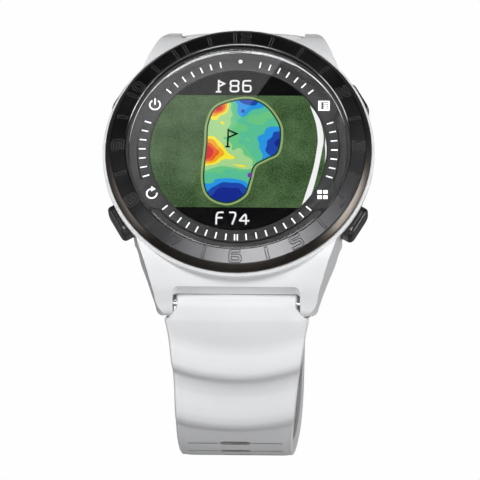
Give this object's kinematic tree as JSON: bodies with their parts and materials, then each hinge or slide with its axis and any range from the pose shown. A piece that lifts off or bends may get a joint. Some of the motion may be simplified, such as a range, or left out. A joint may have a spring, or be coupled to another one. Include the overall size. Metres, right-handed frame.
{
  "type": "golf gps watch",
  "caption": "Round golf GPS watch with a sloped numbered bezel, colour display, side pushers and a ridged strap hinged on spring bars, left unbuckled in its moulded curve.",
  "frame": {"origin": "centre of the case back's outer face", "axes": "+Z out of the dial, +Y to 12 o'clock, +X to 3 o'clock"},
  "size_m": [0.0472, 0.0705, 0.079],
  "materials": {
    "case_white": "moulded white, satin",
    "bezel_black": "black gloss with engraved numerals",
    "seal_black": "black elastomer",
    "lens_glass": "clear strengthened glass",
    "dial_black": "black with white minute marks",
    "display_glass": "lit colour display",
    "backlight_white": "diffuser film",
    "flex_amber": "polyimide flex",
    "frame_black": "moulded",
    "board_green": "solder mask",
    "screw_steel": "plated",
    "switch_metal": "stamped",
    "shield_tin": "tinned",
    "chip_black": "moulded epoxy",
    "antenna_ceramic": "ceramic",
    "battery_foil": "foil pouch",
    "back_black": "moulded, fine texture",
    "contact_gold": "gold plated",
    "strap_white": "soft white silicone",
    "buckle_steel": "brushed",
    "spring_steel": "bright steel",
    "pusher_black": "black satin"
  },
  "bodies": {
    "case": {"mid_case": "case_white", "bezel": "bezel_black", "lens_seal": "seal_black", "lens": "lens_glass", "dial_ring": "dial_black", "display_panel": "display_glass", "backlight": "backlight_white", "display_flex": "flex_amber", "inner_frame": "frame_black", "main_board": "board_green", "board_screws": "screw_steel", "side_switches": "switch_metal", "shield_can": "shield_tin", "processor": "chip_black", "gps_antenna": "antenna_ceramic", "battery": "battery_foil", "vibration_motor": "shield_tin", "back_cover": "back_black", "back_gasket": "seal_black", "back_screws": "screw_steel", "charge_contacts": "contact_gold", "bar_tube_upper": "spring_steel", "bar_tube_lower": "spring_steel", "bar_spring_upper": "spring_steel", "bar_spring_lower": "spring_steel", "pusher_spring_upper_right": "spring_steel", "pusher_spring_upper_left": "spring_steel", "pusher_spring_lower_left": "spring_steel", "pusher_spring_lower_right": "spring_steel"},
    "pusher_upper_right": {"pusher_upper_right": "pusher_black", "pusher_seal_upper_right": "seal_black", "pusher_clip_upper_right": "spring_steel"},
    "pusher_upper_left": {"pusher_upper_left": "pusher_black", "pusher_seal_upper_left": "seal_black", "pusher_clip_upper_left": "spring_steel"},
    "pusher_lower_left": {"pusher_lower_left": "pusher_black", "pusher_seal_lower_left": "seal_black", "pusher_clip_lower_left": "spring_steel"},
    "pusher_lower_right": {"pusher_lower_right": "pusher_black", "pusher_seal_lower_right": "seal_black", "pusher_clip_lower_right": "spring_steel"},
    "bar_tip_upper_right": {"bar_tip_upper_right": "spring_steel"},
    "bar_tip_upper_left": {"bar_tip_upper_left": "spring_steel"},
    "bar_tip_lower_right": {"bar_tip_lower_right": "spring_steel"},
    "bar_tip_lower_left": {"bar_tip_lower_left": "spring_steel"},
    "strap_lower": {"strap_lower": "strap_white"},
    "strap_upper": {"strap_upper": "strap_white", "keeper_fixed": "strap_white"},
    "keeper_free": {"keeper_free": "strap_white"},
    "buckle": {"buckle_frame": "buckle_steel", "buckle_pin": "buckle_steel"},
    "tongue": {"buckle_tongue": "buckle_steel"}
  },
  "joints": [
    {"name": "press_upper_right", "type": "slide", "parent": "case", "child": "pusher_upper_right", "axis": [-0.866, -0.5, 0], "range_m": [0, 0.0005], "stiffness_N_per_m": 1500, "springref_m": -0.0005, "deforming": ["pusher_spring_upper_right"]},
    {"name": "press_upper_left", "type": "slide", "parent": "case", "child": "pusher_upper_left", "axis": [0.866, -0.5, 0], "range_m": [0, 0.0005], "stiffness_N_per_m": 1500, "springref_m": -0.0005, "deforming": ["pusher_spring_upper_left"]},
    {"name": "press_lower_left", "type": "slide", "parent": "case", "child": "pusher_lower_left", "axis": [0.866, 0.5, 0], "range_m": [0, 0.0005], "stiffness_N_per_m": 1500, "springref_m": -0.0005, "deforming": ["pusher_spring_lower_left"]},
    {"name": "press_lower_right", "type": "slide", "parent": "case", "child": "pusher_lower_right", "axis": [-0.866, 0.5, 0], "range_m": [0, 0.0005], "stiffness_N_per_m": 1500, "springref_m": -0.0005, "deforming": ["pusher_spring_lower_right"]},
    {"name": "retract_upper_right", "type": "slide", "parent": "case", "child": "bar_tip_upper_right", "axis": [-1, 0, 0], "range_m": [0, 0.0011], "stiffness_N_per_m": 900, "springref_m": -0.001, "deforming": ["bar_spring_upper"]},
    {"name": "retract_upper_left", "type": "slide", "parent": "case", "child": "bar_tip_upper_left", "axis": [1, 0, 0], "range_m": [0, 0.0011], "stiffness_N_per_m": 900, "springref_m": -0.001},
    {"name": "retract_lower_right", "type": "slide", "parent": "case", "child": "bar_tip_lower_right", "axis": [-1, 0, 0], "range_m": [0, 0.0011], "stiffness_N_per_m": 900, "springref_m": -0.001, "deforming": ["bar_spring_lower"]},
    {"name": "retract_lower_left", "type": "slide", "parent": "case", "child": "bar_tip_lower_left", "axis": [1, 0, 0], "range_m": [0, 0.0011], "stiffness_N_per_m": 900, "springref_m": -0.001},
    {"name": "strap_lower_swing", "type": "hinge", "parent": "case", "child": "strap_lower", "pos_m": [0, -0.025, 0.0021], "axis": [-1, 0, 0], "range_deg": [-5, 50]},
    {"name": "strap_upper_swing", "type": "hinge", "parent": "case", "child": "strap_upper", "pos_m": [0, 0.025, 0.0021], "axis": [1, 0, 0], "range_deg": [-5, 50]},
    {"name": "keeper_slide", "type": "slide", "parent": "strap_upper", "child": "keeper_free", "axis": [0, -0.5654, -0.8248], "range_m": [-0.004, 0.0025]},
    {"name": "buckle_swing", "type": "hinge", "parent": "strap_upper", "child": "buckle", "pos_m": [0, 0.00776, -0.04571], "axis": [1, 0, 0], "range_deg": [-30, 30]},
    {"name": "tongue_swing", "type": "hinge", "parent": "buckle", "child": "tongue", "pos_m": [0, 0.00776, -0.04571], "axis": [1, 0, 0], "range_deg": [0, 40]}
  ]
}
